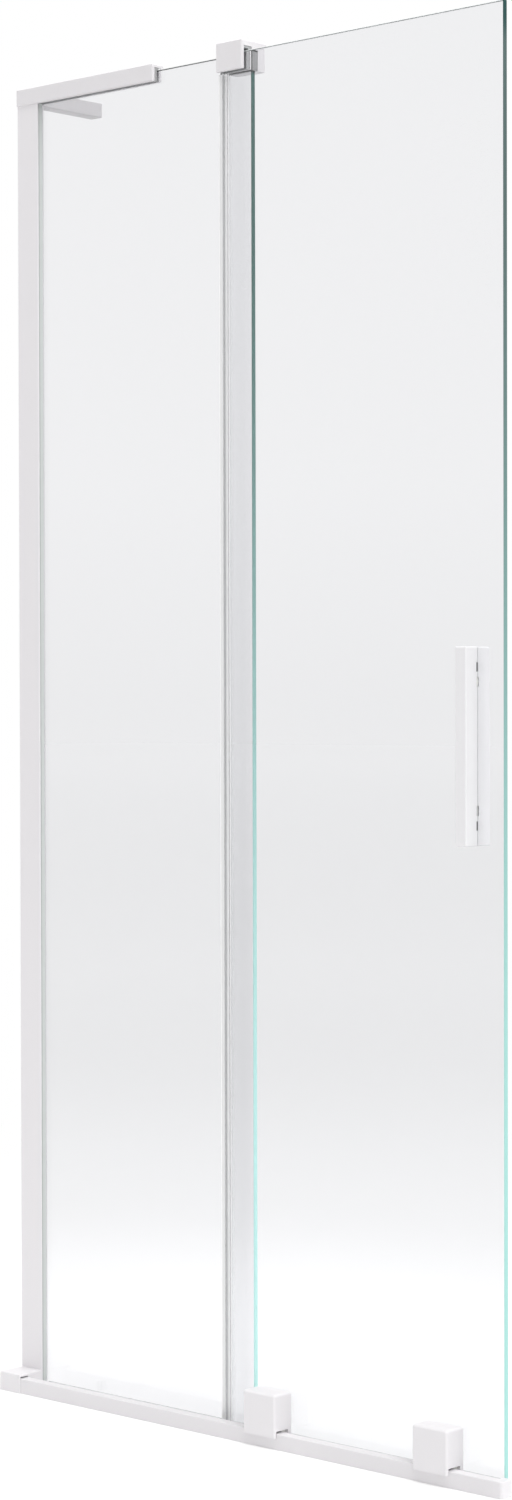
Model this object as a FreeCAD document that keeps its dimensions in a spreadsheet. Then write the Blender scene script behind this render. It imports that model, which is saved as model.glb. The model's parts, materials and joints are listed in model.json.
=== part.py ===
import FreeCAD, Part
import os
import re
import Sketcher

# Sliding bath screen: a fixed pane on a wall channel, and a pane that rolls in front of it on a rim rail.
# X runs along the screen from the wall, Y from the room towards the far side of the fixed pane, Z up from
# the bath rim. Y = 0 is the middle of the fixed pane. Millimetres.

Vector = FreeCAD.Vector

# Driving sizes, in millimetres
SIZES = {
    # the two panes
    "glass_thickness": 6.0,
    "arris": 0.5,
    "screen_height": 1500.0,
    "fixed_rise": 1.7,
    "fixed_foot": 6.0,
    "sliding_foot": 8.0,
    "pane_pitch": 15.0,
    "fixed_reach": 366.6,
    "glass_setback": 12.0,
    "pane_overlap": 35.1,
    "sliding_width": 389.5,
    # wall channel and its gaskets
    "channel_width": 33.3,
    "channel_rear_width": 27.5,
    "channel_depth": 17.8,
    "channel_wall": 1.6,
    "channel_round": 0.7,
    "wall_hole_radius": 2.75,
    "wall_hole_margin": 184.6,
    "gasket_recess": 1.0,
    "gasket_lip": 1.9,
    "rear_gasket_recess": 3.0,
    "gasket_inset": 2.0,
    "setting_block_length": 18.0,
    "setting_block_gap": 1.5,
    "foot_seal_gap": 0.5,
    "foot_seal_lip": 0.8,
    "foot_seal_rise": 1.6,
    # top bracket: a slotted bar over the fixed pane and a leg along the wall
    "bar_length": 221.0,
    "bar_height": 19.1,
    "bar_front_wall": 3.5,
    "bar_front_gap": 4.1,
    "bar_rear_gap": 0.3,
    "bar_rear_wall": 3.9,
    "bar_roof_gap": 3.2,
    "bar_roof": 3.4,
    "bar_round": 1.0,
    "bar_gasket_recess": 0.4,
    "set_screw_radius": 2.0,
    "key_across": 2.0,
    "key_depth": 1.8,
    "set_screw_inset": 40.0,
    "leg_reach": 107.8,
    "leg_width": 17.0,
    "leg_height": 17.0,
    "leg_wall": 2.0,
    "joint_screw_radius": 1.5,
    "joint_head_radius": 2.3,
    "joint_head_height": 1.8,
    "joint_screw_inset": 6.0,
    "joint_screw_spacing": 6.0,
    "wall_plate_thickness": 3.0,
    "wall_plate_foot": 10.0,
    "wall_plate_foot_height": 4.0,
    "wall_plate_gap": 0.3,
    "plate_hole_radius": 2.5,
    "plate_hole_spacing": 66.0,
    "grub_spacing": 50.0,
    # guide block on the free top corner of the fixed pane
    "guide_length": 38.8,
    "guide_proud": 1.6,
    "guide_height": 32.0,
    "guide_front_wall": 3.6,
    "guide_mid_wall": 2.0,
    "guide_rear_leg": 12.0,
    "guide_roof": 6.9,
    "guide_top_gap": 6.1,
    "guide_round": 2.0,
    "glide_front": 1.0,
    "glide_roof": 2.6,
    "glide_clear": 0.4,
    "insert_recess": 0.6,
    "liner_recess": 0.3,
    "glide_recess": 1.0,
    "liner_front": 1.9,
    "liner_rear": 2.7,
    "liner_top": 1.3,
    "guide_screw_inset": 9.5,
    # rail on the bath rim
    "rail_width": 12.0,
    "rail_height": 17.0,
    "rail_wall": 1.6,
    "rail_round": 1.0,
    "rail_foot": 6.7,
    "rail_foot_height": 2.5,
    "rail_block_length": 33.3,
    "rail_block_height": 21.3,
    "block_proud": 1.2,
    "block_round": 0.9,
    "socket_depth": 10.0,
    "socket_side": 0.2,
    "socket_top": 1.8,
    "plug_length": 14.0,
    "plug_clear": 0.1,
    "cap_length": 11.0,
    "cap_overhang": 14.7,
    "cap_round": 3.0,
    "stop_inset": 53.4,
    "stop_length": 10.0,
    "stop_rise": 13.0,
    "bumper_length": 3.0,
    "stop_gap": 0.3,
    # roller blocks that saddle the rail
    "roller_inset": 54.5,
    "roller_end_inset": 52.7,
    "roller_pad": 1.2,
    "roller_pad_inset": 3.0,
    "skirt_front": 2.5,
    "skirt_rear": 5.0,
    "skirt_clear": 0.6,
    "skirt_drop": 4.7,
    "ride_gap": 2.4,
    "roller_cheek": 8.75,
    "roller_roof": 13.8,
    "roller_round": 3.0,
    "shoe_thickness": 6.0,
    "shoe_clear": 0.4,
    "shoe_inset": 4.0,
    "wheel_diameter": 26.0,
    "wheel_width": 8.0,
    "wheel_edge": 0.8,
    "wheel_clear": 0.3,
    "cavity_clear": 1.5,
    "cavity_side": 1.0,
    "bearing_diameter": 13.0,
    "bearing_width": 5.0,
    "bearing_shield": 0.4,
    "bearing_fit": 0.02,
    "axle_radius": 3.0,
    "axle_fit": 0.05,
    "axle_front_skin": 1.6,
    "axle_seat": 5.0,
    "spacer_wall": 1.4,
    "spacer_play": 0.1,
    "bolt_radius": 2.5,
    "bolt_grip": 6.0,
    "bolt_drop": 7.2,
    "bolt_rise": 15.3,
    "bolt_head_radius": 7.0,
    "bolt_head_height": 2.2,
    "bolt_head_round": 0.8,
    "bolt_key_across": 4.0,
    "bolt_key_depth": 1.4,
    "washer_thickness": 0.8,
    "glass_hole_clear": 0.5,
    # handle bars, one on each face of the sliding pane
    "handle_length": 202.0,
    "handle_width": 14.4,
    "handle_depth": 19.1,
    "handle_rear_width": 7.4,
    "handle_rear_depth": 20.3,
    "handle_gap": 2.4,
    "handle_clear": 0.4,
    "handle_notch": 10.0,
    "handle_inset": 33.5,
    "handle_height": 752.0,
    "handle_round": 1.2,
    "handle_stud_spacing": 131.0,
    "handle_stud_radius": 2.5,
    "handle_stud_bite": 8.0,
    "handle_collar_radius": 3.4,
    "handle_pad_inset": 0.4,
    "handle_pad_step": 15.0,
    # seals on the sliding pane
    "edge_seal_web": 1.2,
    "edge_seal_reach": 13.1,
    "edge_seal_skin": 1.0,
    "edge_seal_fin": 1.2,
    "edge_seal_fin_clear": 0.6,
    "edge_seal_top_gap": 2.5,
    "drip_seal_skin": 0.8,
    "drip_seal_rise": 4.0,
    "drip_seal_drop": 5.0,
}

# Places worked out from the sizes
PLACES = {
    "glass_half": "glass_thickness / 2",
    "sliding_front": "0 - pane_pitch - glass_half",
    "sliding_back": "glass_half - pane_pitch",
    "sliding_left": "fixed_reach - pane_overlap",
    "sliding_right": "sliding_left + sliding_width",
    "fixed_top": "screen_height + fixed_rise",
    "channel_front": "0 - channel_depth / 2",
    "channel_inner": "channel_depth / 2 - channel_wall",
    "wall_hole_spacing": "(bar_bottom - 2 * wall_hole_margin) / 2",
    "gasket_start": "glass_setback + gasket_inset",
    "gasket_mouth": "channel_width - gasket_recess",
    "gasket_tip": "channel_width + gasket_lip",
    "rear_gasket_mouth": "channel_rear_width - rear_gasket_recess",
    "foot_seal_start": "gasket_tip + foot_seal_gap",
    "far_block_start": "fixed_reach - setting_block_length - setting_block_gap",
    "bar_slot_front": "0 - glass_half - bar_front_gap",
    "bar_front": "bar_slot_front - bar_front_wall",
    "bar_slot_back": "glass_half + bar_rear_gap",
    "bar_back": "bar_slot_back + bar_rear_wall",
    "bar_slot_top": "fixed_top + bar_roof_gap",
    "bar_top": "bar_slot_top + bar_roof",
    "bar_bottom": "bar_top - bar_height",
    "bar_middle": "(bar_bottom + fixed_top) / 2",
    "leg_bottom": "bar_top - leg_height",
    "leg_middle": "bar_top - leg_height / 2",
    "leg_floor": "leg_bottom + leg_wall",
    "leg_centre": "bar_back + leg_reach / 2",
    "plate_start": "bar_back + leg_wall + wall_plate_gap",
    "plate_length": "leg_reach - 2 * leg_wall - 2 * wall_plate_gap",
    "plate_bottom": "leg_floor + wall_plate_gap",
    "plate_height": "leg_height - 2 * leg_wall - 2 * wall_plate_gap",
    "plate_foot_middle": "wall_plate_thickness + wall_plate_foot / 2",
    "guide_left": "fixed_reach + guide_proud - guide_length",
    "guide_slot_front": "sliding_front - glide_clear - glide_front",
    "guide_front": "guide_slot_front - guide_front_wall",
    "guide_seat_front": "0 - glass_half - liner_front",
    "guide_slot_back": "guide_seat_front - guide_mid_wall",
    "guide_seat_back": "glass_half + liner_rear",
    "guide_back": "guide_seat_back + guide_rear_leg",
    "guide_slot_top": "screen_height + guide_top_gap",
    "guide_top": "guide_slot_top + guide_roof",
    "guide_bottom": "guide_top - guide_height",
    "guide_seat_top": "fixed_top + liner_top",
    "guide_middle": "(guide_bottom + fixed_top) / 2",
    "guide_right": "fixed_reach + guide_proud",
    "insert_left": "guide_left + insert_recess",
    "insert_right": "guide_right - insert_recess",
    "roller_back": "sliding_front - roller_pad",
    "skirt_rear_face": "roller_back - skirt_rear",
    "rail_back": "skirt_rear_face - shoe_thickness - shoe_clear",
    "rail_front": "rail_back - rail_width",
    "rail_middle": "rail_back - rail_width / 2",
    "rail_foot_back": "rail_back + rail_foot",
    "rail_start": "rail_block_length - socket_depth",
    "block_front": "rail_front - block_proud",
    "plug_inset": "rail_wall + plug_clear",
    "rail_end": "sliding_right + cap_overhang - cap_length",
    "skirt_front_face": "rail_front - skirt_clear",
    "roller_front": "skirt_front_face - skirt_front",
    "skirt_bottom": "rail_height - skirt_drop",
    "roller_floor": "rail_height + ride_gap",
    "wheel_radius": "wheel_diameter / 2",
    "wheel_height": "rail_height + wheel_clear + wheel_radius",
    "cavity_top": "wheel_height + wheel_radius + cavity_clear",
    "cavity_half": "wheel_width / 2 + cavity_side",
    "roller_top": "cavity_top + roller_roof",
    "roller_length": "wheel_diameter + 2 * cavity_clear + 2 * roller_cheek",
    "roller_middle": "roller_length / 2",
    "axle_front": "roller_front + axle_front_skin",
    "axle_back": "rail_middle + cavity_half + axle_seat",
    "stop_back": "rail_back + shoe_thickness",
    "left_stop": "rail_block_length + stop_inset",
    "right_stop": "right_roller + roller_length - shoe_inset + stop_gap + bumper_length",
    "left_roller": "sliding_left + roller_inset",
    "right_roller": "sliding_right - roller_end_inset - roller_length",
    "handle_left": "sliding_right - handle_inset - handle_width",
    "handle_middle": "handle_left + handle_width / 2",
    "handle_rear_left": "handle_middle - handle_rear_width / 2",
    "handle_bottom": "handle_height - handle_length / 2",
    "handle_front": "sliding_front - handle_clear - handle_depth",
    "handle_rear": "sliding_back + handle_clear",
    "handle_notch_depth": "handle_gap - handle_clear",
    "edge_seal_left": "sliding_left - edge_seal_web",
    "edge_seal_end": "sliding_left + edge_seal_reach",
    "edge_seal_front": "sliding_front - edge_seal_skin",
    "edge_seal_back": "sliding_back + edge_seal_skin",
    "edge_seal_tip": "0 - glass_half - edge_seal_fin_clear",
    "edge_seal_top": "guide_bottom - edge_seal_top_gap",
    "drip_seal_foot": "sliding_foot - drip_seal_drop",
    "drip_seal_top": "sliding_foot + drip_seal_rise",
}

ROLLERS = ("left", "right")
ENDS = (-1, 1)

doc = FreeCAD.newDocument("sliding_bath_screen")
sheet = doc.addObject("Spreadsheet::Sheet", "sizes")
for row, (alias, number) in enumerate(SIZES.items(), 1):
    sheet.set(f"A{row}", alias)
    sheet.set(f"B{row}", str(number))
    sheet.setAlias(f"B{row}", alias)
doc.recompute()

nodes = []


def formula(text):
    """Spell a formula in sheet cells, with every place replaced by what it is worked out from."""
    def spell(match):
        word = match.group(0)
        return f"({formula(PLACES[word])})" if word in PLACES else f"sizes.{word}"
    return re.sub(r"[a-z_]+", spell, text)


def bind(thing, **values):
    """Tie properties of an object to formulas."""
    for name, text in values.items():
        thing.setExpression(name, formula(text))


def seat(thing, x="0", y="0", z="0"):
    """Tie an object's place to formulas."""
    for axis, text in zip("xyz", (x, y, z)):
        thing.setExpression(f"Placement.Base.{axis}", formula(text))


def keep(thing, label):
    """Make an object a sub-part with this name."""
    thing.Label = label
    nodes.append(thing)
    return thing


# Bodies made from sketches and features

TURNS = {
    "x": FreeCAD.Rotation(Vector(0, 1, 0), 90),
    "y": FreeCAD.Rotation(Vector(1, 0, 0), -90),
    "z": FreeCAD.Rotation(),
}


def new_body(name):
    return doc.addObject("PartDesign::Body", f"{name}_body")


def origin_plane(body, role):
    return next(feature for feature in body.Origin.OriginFeatures if feature.Role == role)


def draw_loop(sketch, corners):
    """Draw a closed outline whose corners are pairs of formulas."""
    count = len(corners)
    first = sketch.GeometryCount
    turn = FreeCAD.Rotation(Vector(0, 0, 1), 360.0 / count)
    rough = [Vector(10, 0, 0)]
    for _ in range(count - 1):
        rough.append(turn.multVec(rough[-1]))
    for index in range(count):
        sketch.addGeometry(Part.LineSegment(rough[index], rough[(index + 1) % count]), False)
    for index in range(count):
        following = first + (index + 1) % count
        sketch.addConstraint(Sketcher.Constraint("Coincident", first + index, 2, following, 1))
    for index, pair in enumerate(corners):
        for kind, text, start in zip(("DistanceX", "DistanceY"), pair, rough[index]):
            number = sketch.addConstraint(Sketcher.Constraint(kind, -1, 1, first + index, 1, start))
            sketch.setExpression(f"Constraints[{number}]", formula(text))


def new_sketch(body, plane, loops):
    sketch = body.newObject("Sketcher::SketchObject", f"{body.Name}_sketch")
    sketch.AttachmentSupport = (origin_plane(body, plane), [""])
    sketch.MapMode = "FlatFace"
    for corners in loops:
        draw_loop(sketch, corners)
    return sketch


def extrusion(name, plane, length, *loops):
    """A body pulled from outlines on one of its origin planes, along that plane's normal."""
    body = new_body(name)
    pad = body.newObject("PartDesign::Pad", f"{body.Name}_pad")
    pad.Profile = new_sketch(body, plane, loops)
    bind(pad, Length=length)
    body.Tip = pad
    return body


def turned(name, corners):
    """A body of revolution about its own Y axis."""
    body = new_body(name)
    sketch = new_sketch(body, "XY_Plane", [corners])
    revolution = body.newObject("PartDesign::Revolution", f"{body.Name}_turn")
    revolution.Profile = sketch
    revolution.ReferenceAxis = (sketch, ["V_Axis"])
    revolution.Angle = 360
    body.Tip = revolution
    return body


def brick_body(name, length, width, height):
    body = new_body(name)
    box = body.newObject("PartDesign::AdditiveBox", f"{body.Name}_box")
    bind(box, Length=length, Width=width, Height=height)
    return body


def cut_away(body, kind, place, axis="z", **values):
    """Take a box or a cylinder out of a body, and see that it took something."""
    doc.recompute()
    before = body.Shape.Volume
    tool = body.newObject(f"PartDesign::Subtractive{kind}", f"{body.Name}_cut")
    tool.Placement = FreeCAD.Placement(Vector(), TURNS[axis])
    seat(tool, *place)
    bind(tool, **values)
    doc.recompute()
    if body.Shape.Volume >= before:
        raise RuntimeError(f"a cut in {body.Name} takes nothing away")


def add_on(body, place, length, width, height):
    """Add a box to a body."""
    box = body.newObject("PartDesign::AdditiveBox", f"{body.Name}_add")
    seat(box, *place)
    bind(box, Length=length, Width=width, Height=height)


SIDES = {
    "left": ("XMin", "XMax", "XMin"),
    "right": ("XMin", "XMax", "XMax"),
    "front": ("YMin", "YMax", "YMin"),
    "back": ("YMin", "YMax", "YMax"),
    "bottom": ("ZMin", "ZMax", "ZMin"),
    "top": ("ZMin", "ZMax", "ZMax"),
}
NEAR = 1e-4


def lies_on(edge, shape, side):
    """Whether an edge lies on one side of the shape's box."""
    low, high, extreme = SIDES[side]
    level = getattr(shape.BoundBox, extreme)
    return all(abs(getattr(edge.BoundBox, bound) - level) < NEAR for bound in (low, high))


def ease_edges(body, kind, size, pairs):
    """Fillet or chamfer the edges between pairs of sides, such as 'top front'."""
    doc.recompute()
    base = body.Tip
    names = []
    for number, edge in enumerate(base.Shape.Edges, 1):
        if any(all(lies_on(edge, base.Shape, side) for side in pair.split()) for pair in pairs):
            names.append(f"Edge{number}")
    feature = body.newObject(f"PartDesign::{kind}", f"{body.Name}_{kind.lower()}")
    feature.Base = (base, names)
    bind(feature, **{"Radius" if kind == "Fillet" else "Size": size})
    body.Tip = feature


# Plain solids

def brick(name, place, length, width, height):
    box = doc.addObject("Part::Box", name)
    seat(box, *place)
    bind(box, Length=length, Width=width, Height=height)
    return box


def rod(name, axis, place, radius, length):
    cylinder = doc.addObject("Part::Cylinder", name)
    cylinder.Placement = FreeCAD.Placement(Vector(), TURNS[axis])
    seat(cylinder, *place)
    bind(cylinder, Radius=radius, Height=length)
    return cylinder


def hexagon(name, axis, place, across, depth):
    """A six-sided plug, for the socket of a screw."""
    plug = doc.addObject("Part::Prism", name)
    plug.Polygon = 6
    plug.Placement = FreeCAD.Placement(Vector(), TURNS[axis])
    seat(plug, *place)
    bind(plug, Circumradius=f"{across} * 0.57735", Height=depth)
    return plug


def without(name, base, *tools):
    """A solid with other solids cut out of it."""
    result = base
    for number, tool in enumerate(tools):
        cut = doc.addObject("Part::Cut", f"{name}_cut_{number}")
        cut.Base = result
        cut.Tool = tool
        result = cut
    return result


def joined(name, *solids):
    fuse = doc.addObject("Part::MultiFuse", f"{name}_fuse")
    fuse.Shapes = list(solids)
    return fuse


def group(label, *solids):
    """Separate solids that share one name."""
    compound = doc.addObject("Part::Compound", f"{label}_group")
    compound.Links = list(solids)
    return keep(compound, label)


# The wall channel and what holds the fixed pane in it

def make_wall_channel():
    outline = [
        ("0", "channel_front"),
        ("channel_width", "channel_front"),
        ("channel_width", "0 - channel_inner"),
        ("channel_wall", "0 - channel_inner"),
        ("channel_wall", "channel_inner"),
        ("channel_rear_width", "channel_inner"),
        ("channel_rear_width", "channel_depth / 2"),
        ("0", "channel_depth / 2"),
    ]
    body = extrusion("wall_channel", "XY_Plane", "bar_bottom", outline)
    ease_edges(body, "Fillet", "channel_round", ["right front"])
    for step in (-1, 0, 1):
        height = f"bar_bottom / 2 + {step} * wall_hole_spacing"
        cut_away(body, "Cylinder", ("0", "0", height), "x", Radius="wall_hole_radius", Height="channel_wall")
    keep(body, "wall_channel")


def make_channel_gaskets():
    """A wedge pressed in between the front lip and the fixed pane, and a plain strip behind the pane."""
    outline = [
        ("gasket_start", "0 - channel_inner"),
        ("gasket_mouth", "0 - channel_inner"),
        ("gasket_tip", "0 - glass_half"),
        ("gasket_start", "0 - glass_half"),
    ]
    wedge = extrusion("front_gasket", "XY_Plane", "bar_bottom - fixed_foot", outline)
    seat(wedge, z="fixed_foot")
    strip = brick(
        "rear_gasket", ("gasket_start", "glass_half", "fixed_foot"),
        "rear_gasket_mouth - gasket_start", "channel_inner - glass_half", "bar_bottom - fixed_foot",
    )
    group("channel_gaskets", wedge, strip)


def make_fixed_pane():
    body = brick_body(
        "fixed_glass", "fixed_reach - glass_setback", "glass_thickness", "fixed_top - fixed_foot",
    )
    seat(body, "glass_setback", "0 - glass_half", "fixed_foot")
    ease_edges(body, "Chamfer", "arris", ["right front", "right back", "top front", "top back"])
    keep(body, "fixed_glass")
    blocks = []
    for name, start in (("near", "glass_setback"), ("far", "far_block_start")):
        place = (start, "0 - glass_half", "0")
        size = ("setting_block_length", "glass_thickness", "fixed_foot")
        blocks.append(brick(f"{name}_setting_block", place, *size))
    group("setting_blocks", *blocks)


def make_fixed_foot_seal():
    """A strip under the fixed pane, with a lip up each face."""
    outline = [
        ("0 - glass_half - foot_seal_lip", "0"),
        ("glass_half + foot_seal_lip", "0"),
        ("glass_half + foot_seal_lip", "fixed_foot + foot_seal_rise"),
        ("glass_half", "fixed_foot + foot_seal_rise"),
        ("glass_half", "fixed_foot"),
        ("0 - glass_half", "fixed_foot"),
        ("0 - glass_half", "fixed_foot + foot_seal_rise"),
        ("0 - glass_half - foot_seal_lip", "fixed_foot + foot_seal_rise"),
    ]
    body = extrusion("fixed_foot_seal", "YZ_Plane", "far_block_start - foot_seal_start", outline)
    seat(body, "foot_seal_start")
    keep(body, "fixed_foot_seal")


# The bracket over the top of the fixed pane

def make_bracket_bar():
    outline = [
        ("bar_front", "bar_bottom"),
        ("bar_front", "bar_top"),
        ("bar_back", "bar_top"),
        ("bar_back", "bar_bottom"),
        ("bar_slot_back", "bar_bottom"),
        ("bar_slot_back", "bar_slot_top"),
        ("bar_slot_front", "bar_slot_top"),
        ("bar_slot_front", "bar_bottom"),
    ]
    body = extrusion("bracket_bar", "YZ_Plane", "bar_length", outline)
    rounded = ["top front", "bottom front", "right front", "right top", "right back"]
    ease_edges(body, "Fillet", "bar_round", rounded)
    screws = []
    for number, along in enumerate(("leg_width + set_screw_inset", "bar_length - set_screw_inset")):
        place = (along, "bar_slot_back", "bar_middle")
        cut_away(body, "Cylinder", place, "y", Radius="set_screw_radius", Height="bar_rear_wall")
        name = f"set_screw_{number}"
        screw = rod(f"{name}_rod", "y", place, "set_screw_radius", "bar_rear_wall")
        key_place = (along, "bar_back - key_depth", "bar_middle")
        key = hexagon(f"{name}_key", "y", key_place, "key_across", "key_depth")
        screws.append(without(name, screw, key))
    heads = []
    for step in ENDS:
        height = f"leg_middle + {step} * joint_screw_spacing / 2 - leg_wall / 2"
        shank_place = ("joint_screw_inset", "bar_slot_back", height)
        cut_away(body, "Cylinder", shank_place, "y", Radius="joint_screw_radius", Height="bar_rear_wall")
        head_place = ("joint_screw_inset", "bar_slot_back - joint_head_height", height)
        head = rod(f"joint_head_{step + 1}", "y", head_place, "joint_head_radius", "joint_head_height")
        reach = "bar_rear_wall + leg_wall"
        shank = rod(f"joint_shank_{step + 1}", "y", shank_place, "joint_screw_radius", reach)
        heads.append(joined(f"joint_screw_{step + 1}", head, shank))
    keep(body, "bracket_bar")
    group("bracket_set_screws", *screws)
    group("bracket_joint_screws", *heads)


def make_bracket_gasket():
    outline = [
        ("bar_slot_front", "bar_bottom + bar_gasket_recess"),
        ("0 - glass_half", "bar_bottom + bar_gasket_recess"),
        ("0 - glass_half", "fixed_top"),
        ("glass_half", "fixed_top"),
        ("glass_half", "bar_bottom + bar_gasket_recess"),
        ("bar_slot_back", "bar_bottom + bar_gasket_recess"),
        ("bar_slot_back", "bar_slot_top"),
        ("bar_slot_front", "bar_slot_top"),
    ]
    length = "bar_length - bar_gasket_recess - glass_setback"
    body = extrusion("bracket_gasket", "YZ_Plane", length, outline)
    seat(body, "glass_setback")
    keep(body, "bracket_gasket")


def make_bracket_leg():
    """A leg along the wall, hollow towards it, over a plate that the wall screws hold."""
    leg = brick_body("bracket_leg", "leg_width", "leg_reach", "leg_height")
    seat(leg, "0", "bar_back", "leg_bottom")
    rounded = ["right top", "right bottom", "right back", "top back", "bottom back"]
    ease_edges(leg, "Fillet", "bar_round", rounded)
    cut_away(
        leg, "Box", ("0", "leg_wall", "leg_wall"),
        Length="leg_width - leg_wall", Width="leg_reach - 2 * leg_wall", Height="leg_height - 2 * leg_wall",
    )
    for step in ENDS:
        height = f"leg_height / 2 + {step} * joint_screw_spacing / 2 - leg_wall / 2"
        cut_away(
            leg, "Cylinder", ("joint_screw_inset", "0", height), "y",
            Radius="joint_screw_radius", Height="leg_wall",
        )
    plate = brick_body("bracket_wall_plate", "wall_plate_thickness", "plate_length", "plate_height")
    seat(plate, "0", "plate_start", "plate_bottom")
    foot_place = ("wall_plate_thickness", "0", "0")
    add_on(plate, foot_place, "wall_plate_foot", "plate_length", "wall_plate_foot_height")
    grubs = []
    for step in ENDS:
        along = f"leg_reach / 2 + {step} * grub_spacing / 2"
        cut_away(
            leg, "Cylinder", ("plate_foot_middle", along, "0"),
            Radius="set_screw_radius", Height="leg_wall",
        )
        plate_along = f"plate_length / 2 + {step} * grub_spacing / 2"
        cut_away(
            plate, "Cylinder", ("plate_foot_middle", plate_along, "0"),
            Radius="set_screw_radius", Height="wall_plate_foot_height",
        )
        place = ("plate_foot_middle", f"leg_centre + {step} * grub_spacing / 2", "leg_bottom")
        grub_length = "leg_wall + wall_plate_gap + wall_plate_foot_height"
        name = f"grub_{step + 1}"
        grub = rod(f"{name}_rod", "z", place, "set_screw_radius", grub_length)
        grubs.append(without(name, grub, hexagon(f"{name}_key", "z", place, "key_across", "key_depth")))
        hole_along = f"plate_length / 2 + {step} * plate_hole_spacing / 2"
        hole_height = "(plate_height + wall_plate_foot_height) / 2"
        cut_away(
            plate, "Cylinder", ("0", hole_along, hole_height), "x",
            Radius="plate_hole_radius", Height="wall_plate_thickness",
        )
    keep(leg, "bracket_leg")
    keep(plate, "bracket_wall_plate")
    group("bracket_grub_screws", *grubs)


# The guide block that clamps the fixed pane and steadies the sliding one

def make_guide_block():
    outline = [
        ("guide_front", "guide_bottom"),
        ("guide_front", "guide_top"),
        ("guide_back", "guide_top"),
        ("guide_back", "guide_bottom"),
        ("guide_seat_back", "guide_bottom"),
        ("guide_seat_back", "guide_seat_top"),
        ("guide_seat_front", "guide_seat_top"),
        ("guide_seat_front", "guide_bottom"),
        ("guide_slot_back", "guide_bottom"),
        ("guide_slot_back", "guide_slot_top"),
        ("guide_slot_front", "guide_slot_top"),
        ("guide_slot_front", "guide_bottom"),
    ]
    body = extrusion("guide_block", "YZ_Plane", "guide_length", outline)
    seat(body, "guide_left")
    rounded = [f"{end} {side}" for end in ("left", "right", "top") for side in ("front", "back")]
    ease_edges(body, "Fillet", "guide_round", rounded + ["left top", "right top"])
    screws = []
    for number, along in enumerate(("guide_screw_inset", "guide_length - guide_screw_inset")):
        place = (along, "guide_seat_back", "guide_middle")
        cut_away(body, "Cylinder", place, "y", Radius="set_screw_radius", Height="guide_rear_leg")
        screw_place = (f"guide_left + {along}", "guide_seat_back", "guide_middle")
        name = f"guide_screw_{number}"
        screw = rod(f"{name}_rod", "y", screw_place, "set_screw_radius", "guide_rear_leg / 2")
        key_place = (screw_place[0], "guide_seat_back + guide_rear_leg / 2 - key_depth", "guide_middle")
        key = hexagon(f"{name}_key", "y", key_place, "key_across", "key_depth")
        screws.append(without(name, screw, key))
    keep(body, "guide_block")
    group("guide_set_screws", *screws)


def make_guide_inserts():
    """A rubber liner and a pressure pad for the fixed pane, and a nylon glide round the sliding pane."""
    liner = [
        ("guide_seat_front", "guide_bottom"),
        ("0 - glass_half", "guide_bottom"),
        ("0 - glass_half", "fixed_top"),
        ("guide_seat_back", "fixed_top"),
        ("guide_seat_back", "guide_seat_top"),
        ("guide_seat_front", "guide_seat_top"),
    ]
    glide = [
        ("guide_slot_front", "guide_bottom"),
        ("sliding_front - glide_clear", "guide_bottom"),
        ("sliding_front - glide_clear", "guide_slot_top - glide_roof"),
        ("sliding_back + glide_clear", "guide_slot_top - glide_roof"),
        ("sliding_back + glide_clear", "guide_bottom"),
        ("guide_slot_back", "guide_bottom"),
        ("guide_slot_back", "guide_slot_top"),
        ("guide_slot_front", "guide_slot_top"),
    ]
    for name, start, end, outline in (
        ("guide_liner", "insert_left", "guide_right - liner_recess", liner),
        ("guide_glide", "guide_left + glide_recess", "guide_right - glide_recess", glide),
    ):
        body = extrusion(name, "YZ_Plane", f"{end} - ({start})", outline)
        seat(body, start)
        keep(body, name)
    pad = [
        ("insert_left", "glass_half"),
        ("fixed_reach", "glass_half"),
        ("fixed_reach", "0 - glass_half"),
        ("insert_right", "0 - glass_half"),
        ("insert_right", "guide_seat_back"),
        ("insert_left", "guide_seat_back"),
    ]
    body = extrusion("guide_end_pad", "XY_Plane", "fixed_top - guide_bottom", pad)
    seat(body, z="guide_bottom")
    keep(body, "guide_end_pad")


# The rail on the bath rim and its ends

def make_rail():
    outline = [
        ("rail_front", "0"),
        ("rail_front", "rail_height"),
        ("rail_back", "rail_height"),
        ("rail_back", "rail_foot_height"),
        ("rail_foot_back", "rail_foot_height"),
        ("rail_foot_back", "0"),
    ]
    hollow = [
        ("rail_front + rail_wall", "rail_wall"),
        ("rail_front + rail_wall", "rail_height - rail_wall"),
        ("rail_back - rail_wall", "rail_height - rail_wall"),
        ("rail_back - rail_wall", "rail_wall"),
    ]
    body = extrusion("bottom_rail", "YZ_Plane", "rail_end - rail_start", outline, hollow)
    seat(body, "rail_start")
    ease_edges(body, "Fillet", "rail_round", ["top front"])
    keep(body, "bottom_rail")


def make_rail_ends():
    """A corner block with a socket for the rail, and a cap plugged into the rail's other end."""
    block = brick_body(
        "rail_wall_block", "rail_block_length", "channel_front - block_front", "rail_block_height",
    )
    seat(block, "0", "block_front", "0")
    rounded = ["top front", "right front", "top right", "left front", "top left"]
    ease_edges(block, "Fillet", "block_round", rounded)
    socket_place = ("rail_block_length - socket_depth", "block_proud - socket_side", "0")
    for width, height in (
        ("rail_width + 2 * socket_side", "rail_height + socket_top"),
        ("rail_width + rail_foot + 2 * socket_side", "rail_foot_height + socket_side"),
    ):
        cut_away(block, "Box", socket_place, Length="socket_depth", Width=width, Height=height)
    keep(block, "rail_wall_block")

    cap = brick_body("rail_end_cap", "cap_length", "rail_width + rail_foot", "rail_height")
    seat(cap, "rail_end", "rail_front", "0")
    ease_edges(cap, "Fillet", "cap_round", ["right front", "right back"])
    ease_edges(cap, "Fillet", "rail_round", ["top front", "top right"])
    plug_place = ("0 - plug_length", "plug_inset", "plug_inset")
    add_on(cap, plug_place, "plug_length", "rail_width - 2 * plug_inset", "rail_height - 2 * plug_inset")
    keep(cap, "rail_end_cap")


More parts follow.
